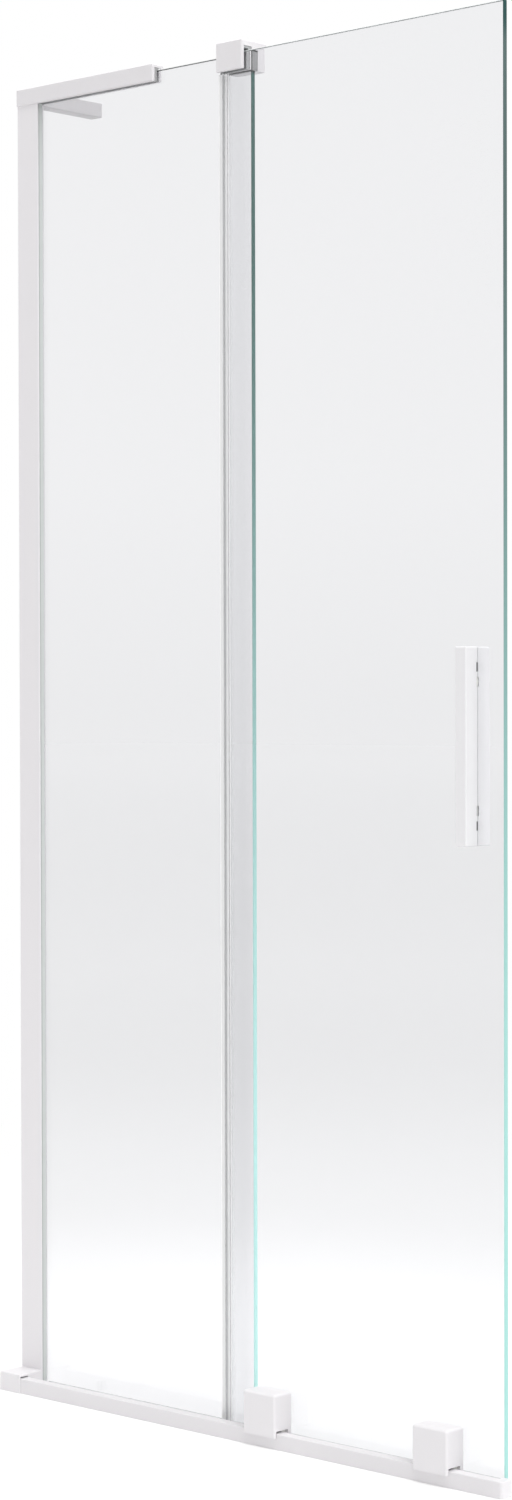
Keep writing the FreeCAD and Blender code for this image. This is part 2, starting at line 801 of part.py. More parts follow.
def make_rail_stops():
    """Stops on the rail's foot, hidden behind the rail, that meet the roller shoes."""
    stops = []
    bumpers = []
    places = (
        ("left", "left_stop", "left_stop + stop_length"),
        ("right", "right_stop", "right_stop - bumper_length"),
    )
    for name, stop_start, bumper_start in places:
        size = ("stop_back - rail_back", "stop_rise - rail_foot_height")
        stop_place = (stop_start, "rail_back", "rail_foot_height")
        stops.append(brick(f"{name}_stop", stop_place, "stop_length", *size))
        bumper_place = (bumper_start, "rail_back", "rail_foot_height")
        bumpers.append(brick(f"{name}_bumper", bumper_place, "bumper_length", *size))
    group("rail_stops", *stops)
    group("stop_bumpers", *bumpers)


# The sliding pane and its seals

def make_sliding_pane():
    body = brick_body("sliding_glass", "sliding_width", "glass_thickness", "screen_height - sliding_foot")
    seat(body, "sliding_left", "sliding_front", "sliding_foot")
    rims = [f"{end} {side}" for end in ("left", "right", "top", "bottom") for side in ("front", "back")]
    ease_edges(body, "Chamfer", "arris", rims)
    holes = []
    for side in ROLLERS:
        middle = f"{side}_roller + roller_middle - sliding_left"
        holes.append((middle, "wheel_height - bolt_drop - sliding_foot", "bolt_radius"))
        holes.append((middle, "wheel_height + bolt_rise - sliding_foot", "bolt_radius"))
    for step in ENDS:
        height = f"handle_height + {step} * handle_stud_spacing / 2 - sliding_foot"
        holes.append(("handle_middle - sliding_left", height, "handle_stud_radius"))
    for along, height, radius in holes:
        cut_away(
            body, "Cylinder", (along, "0", height), "y",
            Radius=f"{radius} + glass_hole_clear", Height="glass_thickness",
        )
    keep(body, "sliding_glass")


def make_edge_seal():
    """A clip on the trailing edge of the sliding pane, with a fin towards the fixed pane."""
    outline = [
        ("edge_seal_left", "edge_seal_front"),
        ("edge_seal_end", "edge_seal_front"),
        ("edge_seal_end", "sliding_front"),
        ("sliding_left", "sliding_front"),
        ("sliding_left", "sliding_back"),
        ("edge_seal_end", "sliding_back"),
        ("edge_seal_end", "edge_seal_back"),
        ("edge_seal_left + edge_seal_fin", "edge_seal_back"),
        ("edge_seal_left + edge_seal_fin", "edge_seal_tip"),
        ("edge_seal_left", "edge_seal_tip"),
    ]
    body = extrusion("edge_seal", "XY_Plane", "edge_seal_top - drip_seal_top", outline)
    seat(body, z="drip_seal_top")
    keep(body, "edge_seal")


def make_drip_seal():
    """A strip along the foot of the sliding pane, with a lip that drops behind the rail."""
    outline = [
        ("sliding_front - drip_seal_skin", "drip_seal_top"),
        ("sliding_front - drip_seal_skin", "drip_seal_foot"),
        ("sliding_front", "drip_seal_foot"),
        ("sliding_front", "sliding_foot - drip_seal_skin"),
        ("sliding_back + drip_seal_skin", "sliding_foot - drip_seal_skin"),
        ("sliding_back + drip_seal_skin", "drip_seal_top"),
        ("sliding_back", "drip_seal_top"),
        ("sliding_back", "sliding_foot"),
        ("sliding_front", "sliding_foot"),
        ("sliding_front", "drip_seal_top"),
    ]
    body = extrusion("drip_seal", "YZ_Plane", "sliding_width", outline)
    seat(body, "sliding_left")
    keep(body, "drip_seal")


# The roller blocks and everything in them

def make_roller_block(side):
    outline = [
        ("roller_front", "skirt_bottom"),
        ("roller_front", "roller_top"),
        ("roller_back", "roller_top"),
        ("roller_back", "skirt_bottom"),
        ("skirt_rear_face", "skirt_bottom"),
        ("skirt_rear_face", "roller_floor"),
        ("skirt_front_face", "roller_floor"),
        ("skirt_front_face", "skirt_bottom"),
    ]
    body = extrusion(f"roller_block_{side}", "YZ_Plane", "roller_length", outline)
    seat(body, f"{side}_roller")
    rounded = ["top front", "top back", "top left", "top right", "left front", "right front"]
    ease_edges(body, "Fillet", "roller_round", rounded)
    cut_away(
        body, "Box", ("roller_cheek", "rail_middle - cavity_half", "roller_floor"),
        Length="roller_length - 2 * roller_cheek",
        Width="2 * cavity_half",
        Height="cavity_top - roller_floor",
    )
    cut_away(
        body, "Cylinder", ("roller_middle", "axle_front", "wheel_height"), "y",
        Radius="axle_radius", Height="roller_back - axle_front",
    )
    for height in ("wheel_height - bolt_drop", "wheel_height + bolt_rise"):
        cut_away(
            body, "Cylinder", ("roller_middle", "roller_back - bolt_grip", height), "y",
            Radius="bolt_radius", Height="bolt_grip",
        )
    keep(body, f"roller_block_{side}")


def make_roller_fixings():
    """Pads, bolts and washers that hold the roller blocks to the sliding pane."""
    pads = []
    bolts = []
    washers = []
    pad_length = "roller_length - 2 * roller_pad_inset"
    pad_height = "roller_top - roller_floor - 2 * roller_pad_inset"
    for side in ROLLERS:
        middle = f"{side}_roller + roller_middle"
        pad_place = (f"{side}_roller + roller_pad_inset", "roller_back", "roller_floor + roller_pad_inset")
        pad = brick(f"{side}_pad_blank", pad_place, pad_length, "roller_pad", pad_height)
        holes = []
        for level, height in (("low", "wheel_height - bolt_drop"), ("high", "wheel_height + bolt_rise")):
            name = f"{side}_{level}"
            hole_place = (middle, "roller_back", height)
            holes.append(rod(f"{name}_pad_hole", "y", hole_place, "bolt_radius", "roller_pad"))
            shank_place = (middle, "roller_back - bolt_grip", height)
            shank_length = "bolt_grip + roller_pad + glass_thickness + washer_thickness"
            shank = rod(f"{name}_shank", "y", shank_place, "bolt_radius", shank_length)
            head = turned(f"{name}_head", [
                ("0", "0"),
                ("bolt_head_radius", "0"),
                ("bolt_head_radius", "bolt_head_height - bolt_head_round"),
                ("bolt_head_radius - bolt_head_round", "bolt_head_height"),
                ("0", "bolt_head_height"),
            ])
            seat(head, middle, "sliding_back + washer_thickness", height)
            head_top = "sliding_back + washer_thickness + bolt_head_height"
            key_place = (middle, f"{head_top} - bolt_key_depth", height)
            key = hexagon(f"{name}_key", "y", key_place, "bolt_key_across", "bolt_key_depth")
            bolts.append(without(f"{name}_bolt", joined(f"{name}_bolt", shank, head), key))
            washer_place = (middle, "sliding_back", height)
            blank = rod(f"{name}_washer_blank", "y", washer_place, "bolt_head_radius", "washer_thickness")
            hole = rod(f"{name}_washer_hole", "y", washer_place, "bolt_radius", "washer_thickness")
            washers.append(without(f"{name}_washer", blank, hole))
        pads.append(without(f"{side}_pad", pad, *holes))
    group("roller_pads", *pads)
    group("roller_bolts", *bolts)
    group("roller_washers", *washers)


def make_axles():
    axles = []
    spacers = []
    reach = "cavity_half - bearing_width / 2 - spacer_play"
    for side in ROLLERS:
        middle = f"{side}_roller + roller_middle"
        place = (middle, "axle_front", "wheel_height")
        axles.append(rod(f"{side}_axle", "y", place, "axle_radius", "axle_back - axle_front"))
        starts = ("rail_middle - cavity_half", "rail_middle + bearing_width / 2 + spacer_play")
        for number, start in enumerate(starts):
            name = f"{side}_spacer_{number}"
            ring_place = (middle, start, "wheel_height")
            blank = rod(f"{name}_blank", "y", ring_place, "axle_radius + spacer_wall", reach)
            hole = rod(f"{name}_hole", "y", ring_place, "axle_radius", reach)
            spacers.append(without(name, blank, hole))
    group("roller_axles", *axles)
    group("axle_spacers", *spacers)


def make_roller_shoes():
    """Nylon shoes inside the rear skirts that run along the back of the rail."""
    shoes = []
    for side in ROLLERS:
        place = (f"{side}_roller + shoe_inset", "rail_back + shoe_clear", "skirt_bottom")
        length = "roller_length - 2 * shoe_inset"
        shoes.append(brick(f"{side}_shoe", place, length, "shoe_thickness", "roller_floor - skirt_bottom"))
    group("roller_shoes", *shoes)


def make_wheel(side):
    """A nylon tyre pressed on a shielded ball bearing, both turning on the axle."""
    seat_radius = "bearing_diameter / 2 + bearing_fit"
    tyre = turned(f"roller_wheel_{side}", [
        (seat_radius, "0 - wheel_width / 2"),
        ("wheel_radius - wheel_edge", "0 - wheel_width / 2"),
        ("wheel_radius", "wheel_edge - wheel_width / 2"),
        ("wheel_radius", "wheel_width / 2 - wheel_edge"),
        ("wheel_radius - wheel_edge", "wheel_width / 2"),
        (seat_radius, "wheel_width / 2"),
    ])
    inner = "axle_radius + axle_fit"
    lip = "axle_radius + spacer_wall"
    rim = "bearing_diameter / 2 - spacer_wall"
    face = "bearing_width / 2"
    shield = f"{face} - bearing_shield"
    bearing = turned(f"roller_bearing_{side}", [
        (inner, f"0 - {face}"),
        (lip, f"0 - {face}"),
        (lip, f"bearing_shield - {face}"),
        (rim, f"bearing_shield - {face}"),
        (rim, f"0 - {face}"),
        ("bearing_diameter / 2", f"0 - {face}"),
        ("bearing_diameter / 2", face),
        (rim, face),
        (rim, shield),
        (lip, shield),
        (lip, face),
        (inner, face),
    ])
    for body, label in ((tyre, f"roller_wheel_{side}"), (bearing, f"roller_bearing_{side}")):
        seat(body, f"{side}_roller + roller_middle", "rail_middle", "wheel_height")
        keep(body, label)


# The handle

def make_handle():
    """A wide bar and a slim rear one close to the glass, notched for the collars and the front pads."""
    notch = "handle_notch_depth"
    front_notch = f"handle_depth - {notch}"
    bars = (
        ("front", "handle_left", "handle_width", "handle_depth", front_notch, "0 - handle_stud_bite", 2),
        ("rear", "handle_rear_left", "handle_rear_width", "handle_rear_depth", "0", notch, 1),
    )
    for face, left, width, depth, notch_start, hole_step, notches in bars:
        name = f"handle_{face}_bar"
        body = brick_body(name, width, depth, "handle_length")
        seat(body, left, f"handle_{face}", "handle_bottom")
        rims = [f"{end} {side}" for end in ("left", "right", "top", "bottom") for side in ("front", "back")]
        ends = [f"{end} {side}" for end in ("top", "bottom") for side in ("left", "right")]
        ease_edges(body, "Fillet", "handle_round", rims + ends)
        for step in ENDS:
            height = f"handle_length / 2 + {step} * handle_stud_spacing / 2"
            for shift in ("0", f"{step} * handle_pad_step")[:notches]:
                cut_away(
                    body, "Box", ("0", notch_start, f"{height} + {shift} - handle_notch / 2"),
                    Length=width, Width=notch, Height="handle_notch",
                )
            cut_away(
                body, "Cylinder", (f"{width} / 2", f"{notch_start} + {hole_step}", height), "y",
                Radius="handle_stud_radius", Height="handle_stud_bite",
            )
        keep(body, name)


def make_handle_fixings():
    """Studs through the sliding pane, collars round them, and rubber pads under the front bar."""
    studs = []
    collars = []
    pads = []
    stud_length = "2 * handle_stud_bite + 2 * handle_gap + glass_thickness"
    pad_size = ("handle_width - 2 * handle_pad_inset", "handle_gap", "handle_notch - 2 * handle_pad_inset")
    for step in ENDS:
        height = f"handle_height + {step} * handle_stud_spacing / 2"
        stud_place = ("handle_middle", "sliding_front - handle_gap - handle_stud_bite", height)
        studs.append(rod(f"handle_stud_{step + 1}", "y", stud_place, "handle_stud_radius", stud_length))

        corner = ("handle_left + handle_pad_inset", "sliding_front - handle_gap")
        foot = f"{height} - handle_notch / 2 + handle_pad_inset"
        front = brick(f"front_collar_blank_{step + 1}", (*corner, foot), *pad_size)
        rear_place = ("handle_middle", "sliding_back", height)
        rear = rod(f"rear_collar_blank_{step + 1}", "y", rear_place, "handle_collar_radius", "handle_gap")
        front_place = ("handle_middle", "sliding_front - handle_gap", height)
        for face, blank, place in (("front", front, front_place), ("rear", rear, rear_place)):
            name = f"{face}_collar_{step + 1}"
            hole = rod(f"{name}_hole", "y", place, "handle_stud_radius", "handle_gap")
            collars.append(without(name, blank, hole))
        pad_foot = f"{foot} + {step} * handle_pad_step"
        pads.append(brick(f"handle_pad_{step + 1}", (*corner, pad_foot), *pad_size))
    group("handle_studs", *studs)
    group("handle_collars", *collars)
    group("handle_pads", *pads)


make_wall_channel()
make_channel_gaskets()
make_fixed_pane()
make_fixed_foot_seal()
make_bracket_bar()
make_bracket_gasket()
make_bracket_leg()
make_guide_block()
make_guide_inserts()
make_rail()
make_rail_ends()
make_rail_stops()
make_sliding_pane()
make_edge_seal()
make_drip_seal()
for roller in ROLLERS:
    make_roller_block(roller)
    make_wheel(roller)
make_roller_fixings()
make_axles()
make_roller_shoes()
make_handle()
make_handle_fixings()
doc.recompute()

for thing in doc.Objects:
    if "Invalid" in thing.State or "Error" in thing.State:
        raise RuntimeError(f"{thing.Name} failed: {thing.State}")
for node in nodes:
    if node.Shape.isNull() or not node.Shape.isValid() or not node.Shape.Solids:
        raise RuntimeError(f"{node.Label} has no sound shape")

os.makedirs("parts", exist_ok=True)
for node in nodes:
    node.Shape.exportStep(os.path.join("parts", f"{node.Label}.step"))
print(f"{len(nodes)} sub-parts, {sum(len(node.Shape.Solids) for node in nodes)} solids")
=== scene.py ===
import json
import math

import bpy
from mathutils import Matrix, Vector


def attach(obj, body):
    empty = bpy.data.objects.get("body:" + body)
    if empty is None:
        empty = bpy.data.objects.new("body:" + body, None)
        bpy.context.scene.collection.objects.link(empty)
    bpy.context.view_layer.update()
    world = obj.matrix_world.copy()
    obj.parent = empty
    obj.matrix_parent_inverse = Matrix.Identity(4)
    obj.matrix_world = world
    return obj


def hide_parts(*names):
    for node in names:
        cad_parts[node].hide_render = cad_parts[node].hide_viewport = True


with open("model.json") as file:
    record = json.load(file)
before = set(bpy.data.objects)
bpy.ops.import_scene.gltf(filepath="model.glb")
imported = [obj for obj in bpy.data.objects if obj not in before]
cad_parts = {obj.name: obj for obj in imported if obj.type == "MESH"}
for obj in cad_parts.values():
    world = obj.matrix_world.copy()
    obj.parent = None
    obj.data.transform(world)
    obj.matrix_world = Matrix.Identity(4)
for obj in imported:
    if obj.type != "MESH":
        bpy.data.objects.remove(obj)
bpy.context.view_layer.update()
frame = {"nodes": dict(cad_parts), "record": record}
nodes = frame["nodes"]

MM = 0.001

# Node groups that several finishes share


def new_group(name, inputs, outputs):
    """A shader node group with its named sockets, and the nodes at its two ends."""
    group = bpy.data.node_groups.new(name, "ShaderNodeTree")
    kinds = {"value": "NodeSocketFloat", "colour": "NodeSocketColor", "vector": "NodeSocketVector"}
    for label, kind, start in inputs:
        socket = group.interface.new_socket(label, in_out="INPUT", socket_type=kinds[kind])
        socket.default_value = start
    for label, kind in outputs:
        group.interface.new_socket(label, in_out="OUTPUT", socket_type=kinds[kind])
    entry = group.nodes.new("NodeGroupInput")
    leave = group.nodes.new("NodeGroupOutput")
    return group, entry, leave


def add(tree, kind, **values):
    """A node with its plain settings."""
    node = tree.nodes.new(kind)
    for name, value in values.items():
        setattr(node, name, value)
    return node


def join(tree, source, target):
    tree.links.new(source, target)


def blend_colours(tree, mode="MIX", factor=None):
    """A colour mix, as its node and its two colour inputs and its result."""
    node = add(tree, "ShaderNodeMix", data_type="RGBA", blend_type=mode)
    if factor is not None:
        node.inputs["Factor"].default_value = factor
    return node, node.inputs["A"], node.inputs["B"], node.outputs["Result"]


def spread(tree, source, low, high):
    """Map a value from 0..1 onto a range of plain numbers or sockets."""
    node = add(tree, "ShaderNodeMapRange")
    join(tree, source, node.inputs["Value"])
    for name, value in (("To Min", low), ("To Max", high)):
        if isinstance(value, (int, float)):
            node.inputs[name].default_value = value
        else:
            join(tree, value, node.inputs[name])
    return node.outputs["Result"]


def sum_of(tree, first, second, operation="ADD"):
    """Two values, plain numbers or sockets, put together by one operation."""
    node = add(tree, "ShaderNodeMath", operation=operation)
    for socket, value in zip(node.inputs, (first, second)):
        if isinstance(value, (int, float)):
            socket.default_value = value
        else:
            join(tree, value, socket)
    return node.outputs["Value"]


def make_skin_group():
    """Fine surface grain with a slow drift in tone, as sprayed or moulded white has."""
    group, entry, leave = new_group(
        "surface_skin",
        [
            ("Colour", "colour", (0.8, 0.8, 0.8, 1.0)),
            ("Tone Drift", "value", 0.02),
            ("Roughness", "value", 0.4),
            ("Roughness Drift", "value", 0.06),
            ("Grain Scale", "value", 900.0),
            ("Drift Scale", "value", 9.0),
        ],
        [("Colour", "colour"), ("Roughness", "value"), ("Height", "value")],
    )
    place = add(group, "ShaderNodeTexCoord")
    drift = add(group, "ShaderNodeTexNoise")
    drift.inputs["Detail"].default_value = 4.0
    join(group, place.outputs["Object"], drift.inputs["Vector"])
    join(group, entry.outputs["Drift Scale"], drift.inputs["Scale"])
    grain = add(group, "ShaderNodeTexNoise")
    grain.inputs["Detail"].default_value = 2.0
    grain.inputs["Roughness"].default_value = 0.6
    join(group, place.outputs["Object"], grain.inputs["Vector"])
    join(group, entry.outputs["Grain Scale"], grain.inputs["Scale"])

    lower = sum_of(group, 1.0, entry.outputs["Tone Drift"], "SUBTRACT")
    upper = sum_of(group, 1.0, entry.outputs["Tone Drift"])
    shade = spread(group, drift.outputs["Fac"], lower, upper)
    tone, first, second, result = blend_colours(group, "MULTIPLY", 1.0)
    join(group, entry.outputs["Colour"], first)
    grey = add(group, "ShaderNodeCombineColor")
    for channel in ("Red", "Green", "Blue"):
        join(group, shade, grey.inputs[channel])
    join(group, grey.outputs["Color"], second)
    join(group, result, leave.inputs["Colour"])

    mixed = sum_of(group, sum_of(group, drift.outputs["Fac"], grain.outputs["Fac"]), 0.5, "MULTIPLY")
    low = sum_of(group, entry.outputs["Roughness"], entry.outputs["Roughness Drift"], "SUBTRACT")
    high = sum_of(group, entry.outputs["Roughness"], entry.outputs["Roughness Drift"])
    join(group, spread(group, mixed, low, high), leave.inputs["Roughness"])
    join(group, grain.outputs["Fac"], leave.inputs["Height"])
    return group


def make_drawn_group():
    """Faint lines along one direction, as a die leaves on drawn and brushed lengths."""
    group, entry, leave = new_group(
        "drawn_lines",
        [
            ("Stretch", "vector", (1.0, 1.0, 1.0)),
            ("Scale", "value", 600.0),
            ("Low", "value", 0.3),
            ("High", "value", 0.5),
        ],
        [("Value", "value"), ("Line", "value")],
    )
    place = add(group, "ShaderNodeTexCoord")
    scaled = add(group, "ShaderNodeVectorMath", operation="MULTIPLY")
    join(group, place.outputs["Object"], scaled.inputs[0])
    join(group, entry.outputs["Stretch"], scaled.inputs[1])
    lines = add(group, "ShaderNodeTexNoise")
    lines.inputs["Detail"].default_value = 3.0
    join(group, scaled.outputs["Vector"], lines.inputs["Vector"])
    join(group, entry.outputs["Scale"], lines.inputs["Scale"])
    join(group, lines.outputs["Fac"], leave.inputs["Line"])
    value = spread(group, lines.outputs["Fac"], entry.outputs["Low"], entry.outputs["High"])
    join(group, value, leave.inputs["Value"])
    return group


skin = make_skin_group()
drawn = make_drawn_group()


def new_finish(name):
    """A material with a bare principled shader."""
    material = bpy.data.materials.new(name)
    material.use_nodes = True
    shader = material.node_tree.nodes["Principled BSDF"]
    return material, material.node_tree, shader


def use_group(tree, group, **values):
    """A shared group in a finish, with its inputs set by their names."""
    node = add(tree, "ShaderNodeGroup", node_tree=group)
    for label, value in values.items():
        node.inputs[label.replace("_", " ")].default_value = value
    return node


def raise_bump(tree, shader, height, strength, distance):
    """Fine relief on a finish, its distance in metres."""
    bump = add(tree, "ShaderNodeBump")
    bump.inputs["Strength"].default_value = strength
    bump.inputs["Distance"].default_value = distance
    join(tree, height, bump.inputs["Height"])
    join(tree, bump.outputs["Normal"], shader.inputs["Normal"])


def skinned(name, colour, strength=0.15, distance=0.05 * MM, **skin_values):
    """A finish made of the shared skin alone."""
    material, tree, shader = new_finish(name)
    grain = use_group(tree, skin, Colour=(*colour, 1.0), **skin_values)
    join(tree, grain.outputs["Colour"], shader.inputs["Base Color"])
    join(tree, grain.outputs["Roughness"], shader.inputs["Roughness"])
    raise_bump(tree, shader, grain.outputs["Height"], strength, distance)
    return material, shader


def split_place(tree):
    """The piece's own coordinates, one by one."""
    place = add(tree, "ShaderNodeTexCoord")
    split = add(tree, "ShaderNodeSeparateXYZ")
    join(tree, place.outputs["Object"], split.inputs["Vector"])
    return split.outputs["X"], split.outputs["Y"], split.outputs["Z"]


def band(tree, source, low, high):
    """A mask that is 1 between two places in millimetres."""
    node = add(tree, "ShaderNodeMath", operation="COMPARE")
    node.inputs[1].default_value = (low + high) / 2 * MM
    node.inputs[2].default_value = (high - low) / 2 * MM
    join(tree, source, node.inputs[0])
    return node.outputs["Value"]


def climb(tree, source, low, high, top=1.0):
    """A smooth rise from 0 to the top value between two places in millimetres."""
    node = add(tree, "ShaderNodeMapRange", interpolation_type="SMOOTHSTEP")
    node.inputs["From Min"].default_value = low * MM
    node.inputs["From Max"].default_value = high * MM
    node.inputs["To Max"].default_value = top
    join(tree, source, node.inputs["Value"])
    return node.outputs["Result"]


def make_glass():
    """Clear float glass, seen through its polished faces."""
    material, tree, shader = new_finish("toughened_glass")
    haze = use_group(tree, skin, Colour=(0.862, 0.864, 0.877, 1.0), Tone_Drift=0.004, Drift_Scale=3.0)
    join(tree, haze.outputs["Colour"], shader.inputs["Base Color"])
    shader.inputs["Roughness"].default_value = 0.0
    shader.inputs["Transmission Weight"].default_value = 1.0
    shader.inputs["IOR"].default_value = 1.5
    return material


# Heights in millimetres between which a ground edge goes from its foot colour to its head colour: painted
# light from the floor below at the foot, fading to painted shade at the head
EDGE_PAINTED_LIGHT_FROM, EDGE_PAINTED_LIGHT_TO = 300.0, 1350.0


def make_ground_edge(name, lit_foot_colour, shaded_head_colour, painted_shadow_tip_colour, painted_shadow_foot, tip_from, tip_to):
    """The ground edge of a pane in the glass's own sea green, paler at the foot as painted light from the
    floor, darker towards the head as painted shade, and near black at both ends as painted shadow.
    """
    material, tree, shader = new_finish(name)
    lines = use_group(tree, drawn, Stretch=(1.0, 1.0, 0.05), Scale=700.0, Low=0.25, High=0.45)
    height = split_place(tree)[2]
    colour, low, high, result = blend_colours(tree)
    join(tree, climb(tree, height, EDGE_PAINTED_LIGHT_FROM, EDGE_PAINTED_LIGHT_TO), colour.inputs["Factor"])
    low.default_value = (*lit_foot_colour, 1.0)
    high.default_value = (*shaded_head_colour, 1.0)
    # Painted shadow: near black at the top end, and in a band at the very foot
    head = climb(tree, height, tip_from, tip_to)
    ends = sum_of(tree, head, band(tree, height, 0.0, painted_shadow_foot), "MAXIMUM")
    edge_shadow_mix, body, tip, result_with_tip = blend_colours(tree)
    join(tree, ends, edge_shadow_mix.inputs["Factor"])
    join(tree, result, body)
    tip.default_value = (*painted_shadow_tip_colour, 1.0)
    join(tree, result_with_tip, shader.inputs["Base Color"])
    join(tree, lines.outputs["Value"], shader.inputs["Roughness"])
    raise_bump(tree, shader, lines.outputs["Line"], 0.2, 0.05 * MM)
    shader.inputs["Specular IOR Level"].default_value = 0.15
    return material


def make_clear_seal():
    """Soft clear strip, a little cloudy, with drawing lines down its length."""
    material, tree, shader = new_finish("clear_strip")
    grain = use_group(tree, skin, Colour=(0.86, 0.865, 0.87, 1.0), Tone_Drift=0.03, Grain_Scale=700.0)
    lines = use_group(tree, drawn, Stretch=(1.0, 1.0, 0.02), Scale=900.0, Low=0.06, High=0.18)
    join(tree, grain.outputs["Colour"], shader.inputs["Base Color"])
    join(tree, lines.outputs["Value"], shader.inputs["Roughness"])
    raise_bump(tree, shader, lines.outputs["Line"], 0.1, 0.05 * MM)
    shader.inputs["Transmission Weight"].default_value = 0.85
    shader.inputs["IOR"].default_value = 1.45
    return material


def make_steel():
    """Screws, bolts, studs and bearings."""
    material, tree, shader = new_finish("brushed_fixings")
    grain = use_group(tree, skin, Colour=(0.56, 0.56, 0.57, 1.0), Tone_Drift=0.05, Grain_Scale=1500.0)
    lines = use_group(tree, drawn, Stretch=(1.0, 0.08, 1.0), Scale=1800.0, Low=0.2, High=0.42)
    join(tree, grain.outputs["Colour"], shader.inputs["Base Color"])
    join(tree, lines.outputs["Value"], shader.inputs["Roughness"])
    raise_bump(tree, shader, lines.outputs["Line"], 0.15, 0.03 * MM)
    shader.inputs["Metallic"].default_value = 1.0
    return material


def make_white_coat(name, colour):
    """Powder coat on the metal lengths."""
    material, shader = skinned(
        name, colour, strength=0.12,
        Roughness=0.42, Roughness_Drift=0.07, Grain_Scale=1100.0, Tone_Drift=0.012,
    )
    shader.inputs["Specular IOR Level"].default_value = 0.3
    return material


def make_white_plastic(name, colour):
    """Moulded plastic of the blocks and ends, smoother than the coat."""
    material, shader = skinned(
        name, colour, strength=0.08,
        Roughness=0.3, Roughness_Drift=0.06, Grain_Scale=2200.0, Tone_Drift=0.01,
    )
    shader.inputs["Specular IOR Level"].default_value = 0.3
    return material


def make_black_rubber():
    material, shader = skinned(
        "black_rubber", (0.006, 0.006, 0.007), strength=0.4, Roughness=0.85, Grain_Scale=1400.0,
    )
    shader.inputs["Specular IOR Level"].default_value = 0.05
    return material


def make_banded_rubber(name, axis, low, high, inside, outside):
    """Rubber or nylon in two tones: one inside a band along an axis, one outside it."""
    material, tree, shader = new_finish(name)
    mask = band(tree, split_place(tree)["XYZ".index(axis)], low, high)
    skins = [
        use_group(tree, skin, Colour=(*colour, 1.0), Roughness=0.6, Grain_Scale=1500.0)
        for colour in (outside, inside)
    ]
    mixed, first, second, result = blend_colours(tree)
    join(tree, mask, mixed.inputs["Factor"])
    join(tree, skins[0].outputs["Colour"], first)
    join(tree, skins[1].outputs["Colour"], second)
    join(tree, result, shader.inputs["Base Color"])
    join(tree, skins[0].outputs["Roughness"], shader.inputs["Roughness"])
    raise_bump(tree, shader, skins[0].outputs["Height"], 0.15, 0.05 * MM)
    return material


# The clip seal's front flange and fin, from and to along Y, and its zones along X, in millimetres
STRIP_FRONT = (-19.1, -17.9)
STRIP_FIN = (-10.9, -3.1)
STRIP_BEND = (330.1, 331.6)
STRIP_HEEL = (331.6, 335.6)
STRIP_WIDE_SHADE_LINE = (336.65, 339.55)
STRIP_CLEAR_GAP = (339.55, 342.9)
STRIP_END_SHADE_LINE = (342.9, 344.5)
STRIP_LIP_HIGHLIGHT = (344.55, 344.65)
STRIP_LEAST_ALPHA = 0.1


def make_edge_strip():
    """The clip on the trailing edge: a near-opaque white bend and lip as painted highlights, clear with two
    grey lines of painted shade, a cloudy fin.
    """
    material, tree, shader = new_finish("edge_strip")
    along, depth, _ = split_place(tree)
    front = band(tree, depth, *STRIP_FRONT)
    fin = band(tree, depth, *STRIP_FIN)
    clip = sum_of(tree, 1.0, fin, "SUBTRACT")

    def on_front(zone):
        return sum_of(tree, band(tree, along, *zone), front, "MULTIPLY")

    # Painted highlight: the bend, and the lip at the flange's end, are made nearly opaque white
    bend = sum_of(tree, band(tree, along, *STRIP_BEND), clip, "MULTIPLY")
    # Painted shade: two grey lines along the front flange
    wide_shade_line = on_front(STRIP_WIDE_SHADE_LINE)
    end_shade_line = on_front(STRIP_END_SHADE_LINE)

    tone = use_group(tree, skin, Colour=(0.97, 0.97, 0.975, 1.0), Tone_Drift=0.02, Grain_Scale=700.0)
    drawn_along = use_group(tree, drawn, Stretch=(1.0, 1.0, 0.02), Scale=900.0, Low=0.12, High=0.3)
    shaded, first, second, result = blend_colours(tree)
    join(tree, sum_of(tree, wide_shade_line, end_shade_line), shaded.inputs["Factor"])
    join(tree, tone.outputs["Colour"], first)
    second.default_value = (0.41, 0.415, 0.42, 1.0)
    join(tree, result, shader.inputs["Base Color"])
    join(tree, drawn_along.outputs["Value"], shader.inputs["Roughness"])
    raise_bump(tree, shader, drawn_along.outputs["Line"], 0.1, 0.05 * MM)

    cover = STRIP_LEAST_ALPHA
    for zone, weight in (
        (fin, 0.3),
        (bend, 0.85),
        (on_front(STRIP_HEEL), 0.65),
        (wide_shade_line, 0.6),
        (on_front(STRIP_CLEAR_GAP), 0.35),
        (end_shade_line, 0.3),
        (on_front(STRIP_LIP_HIGHLIGHT), 0.8),
    ):
        cover = sum_of(tree, sum_of(tree, zone, weight, "MULTIPLY"), cover)
    join(tree, cover, shader.inputs["Alpha"])
    return material


def make_ground_plain(name, colour):
    """A ground edge without tint."""
    return skinned(name, colour, Roughness=0.5, Grain_Scale=900.0)[0]


# One finish for each material slot
FINISHES = {
    "white_coat": make_white_coat("white_powder_coat", (0.8, 0.782, 0.8)),
    "white_plastic": make_white_plastic("white_moulding", (0.785, 0.768, 0.785)),
    "clear_glass": make_glass(),
    "clear_seal": make_clear_seal(),
    "pale_gasket": skinned("pale_gasket", (0.72, 0.72, 0.73), Roughness=0.55, Grain_Scale=1600.0)[0],
    "black_rubber": make_black_rubber(),
    "nylon": skinned("natural_nylon", (0.74, 0.74, 0.71), 0.2, Roughness=0.45, Grain_Scale=1800.0)[0],
    "steel": make_steel(),
}

# Tones of single pieces, with their bands in millimetres
BAR_SHADED_FRONT_HALF = (-20.0, 0.0)
HANDLE_LOWER_LIGHT_AND_SHADE = (600.0, 752.0)
CHANNEL_LIP_SHADOW_BAND = (32.0, 33.2)
GREY_RUBBER = skinned("grey_rubber", (0.3, 0.3, 0.305), Roughness=0.6, Grain_Scale=1500.0)[0]
